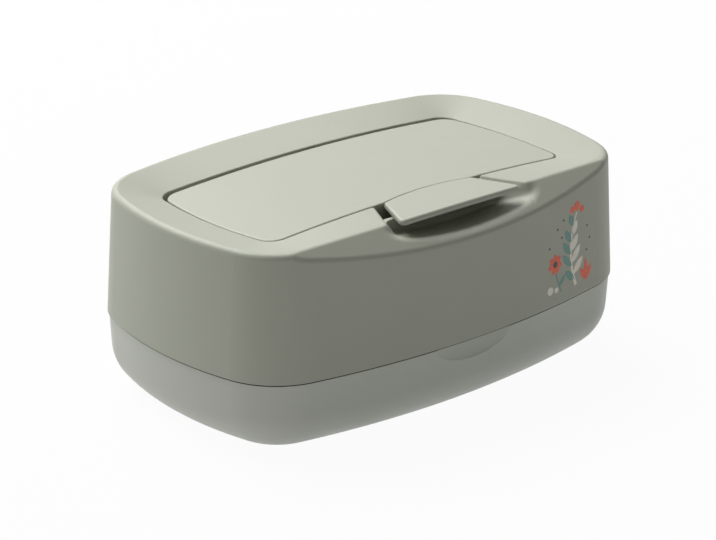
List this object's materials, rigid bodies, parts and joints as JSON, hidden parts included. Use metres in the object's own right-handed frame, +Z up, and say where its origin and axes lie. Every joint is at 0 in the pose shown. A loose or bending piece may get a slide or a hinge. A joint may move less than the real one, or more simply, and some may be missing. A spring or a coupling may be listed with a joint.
{
  "type": "baby wipes box",
  "caption": "Box for baby wipes: a rounded tub, a lift-off cover with a hinged lid over its mouth, and a push button above a finger scoop.",
  "frame": {"origin": "middle of the box in plan, on the surface that its feet stand on", "axes": "+X along the box's long side, -Y out of the front with the button, +Z up"},
  "size_m": [0.226, 0.147, 0.0936],
  "materials": {
    "tub_plastic": "fine matt texture",
    "cover_plastic": "fine matt texture",
    "lid_plastic": "satin",
    "button_plastic": "satin",
    "inner_plastic": "satin",
    "bracket_plastic": "satin",
    "soft_grey": "matt",
    "soft_dark": "matt",
    "soft_clear": "satin",
    "rod_steel": "drawn",
    "pin_steel": "drawn",
    "spring_steel": "wire",
    "screw_steel": "zinc plated"
  },
  "bodies": {
    "tub": {"base_tub": "tub_plastic", "base_feet": "soft_grey", "cover_seal": "soft_dark"},
    "cover": {"top_cover": "cover_plastic", "hinge_rod": "rod_steel", "lid_spring": "spring_steel", "button_bracket": "bracket_plastic", "button_pin": "pin_steel", "button_spring": "spring_steel", "bracket_screws": "screw_steel"},
    "lid": {"lid": "lid_plastic", "lid_liner": "inner_plastic", "lid_seal": "soft_clear"},
    "button": {"release_button": "button_plastic"}
  },
  "joints": [
    {"name": "cover_lift", "type": "slide", "parent": "tub", "child": "cover", "axis": [0, 0, 1], "range_m": [0, 0.03]},
    {"name": "lid_hinge", "type": "hinge", "parent": "cover", "child": "lid", "pos_m": [0, 0.0309, 0.0844], "axis": [-1, 0, 0], "range_deg": [0, 98], "deforming": ["lid_spring"]},
    {"name": "button_press", "type": "hinge", "parent": "cover", "child": "button", "pos_m": [0.0025, -0.043, 0.082], "axis": [1, 0, 0], "range_deg": [0, 6], "stiffness_Nm_per_rad": 0.15, "springref_deg": -17.19, "deforming": ["button_spring"]}
  ]
}
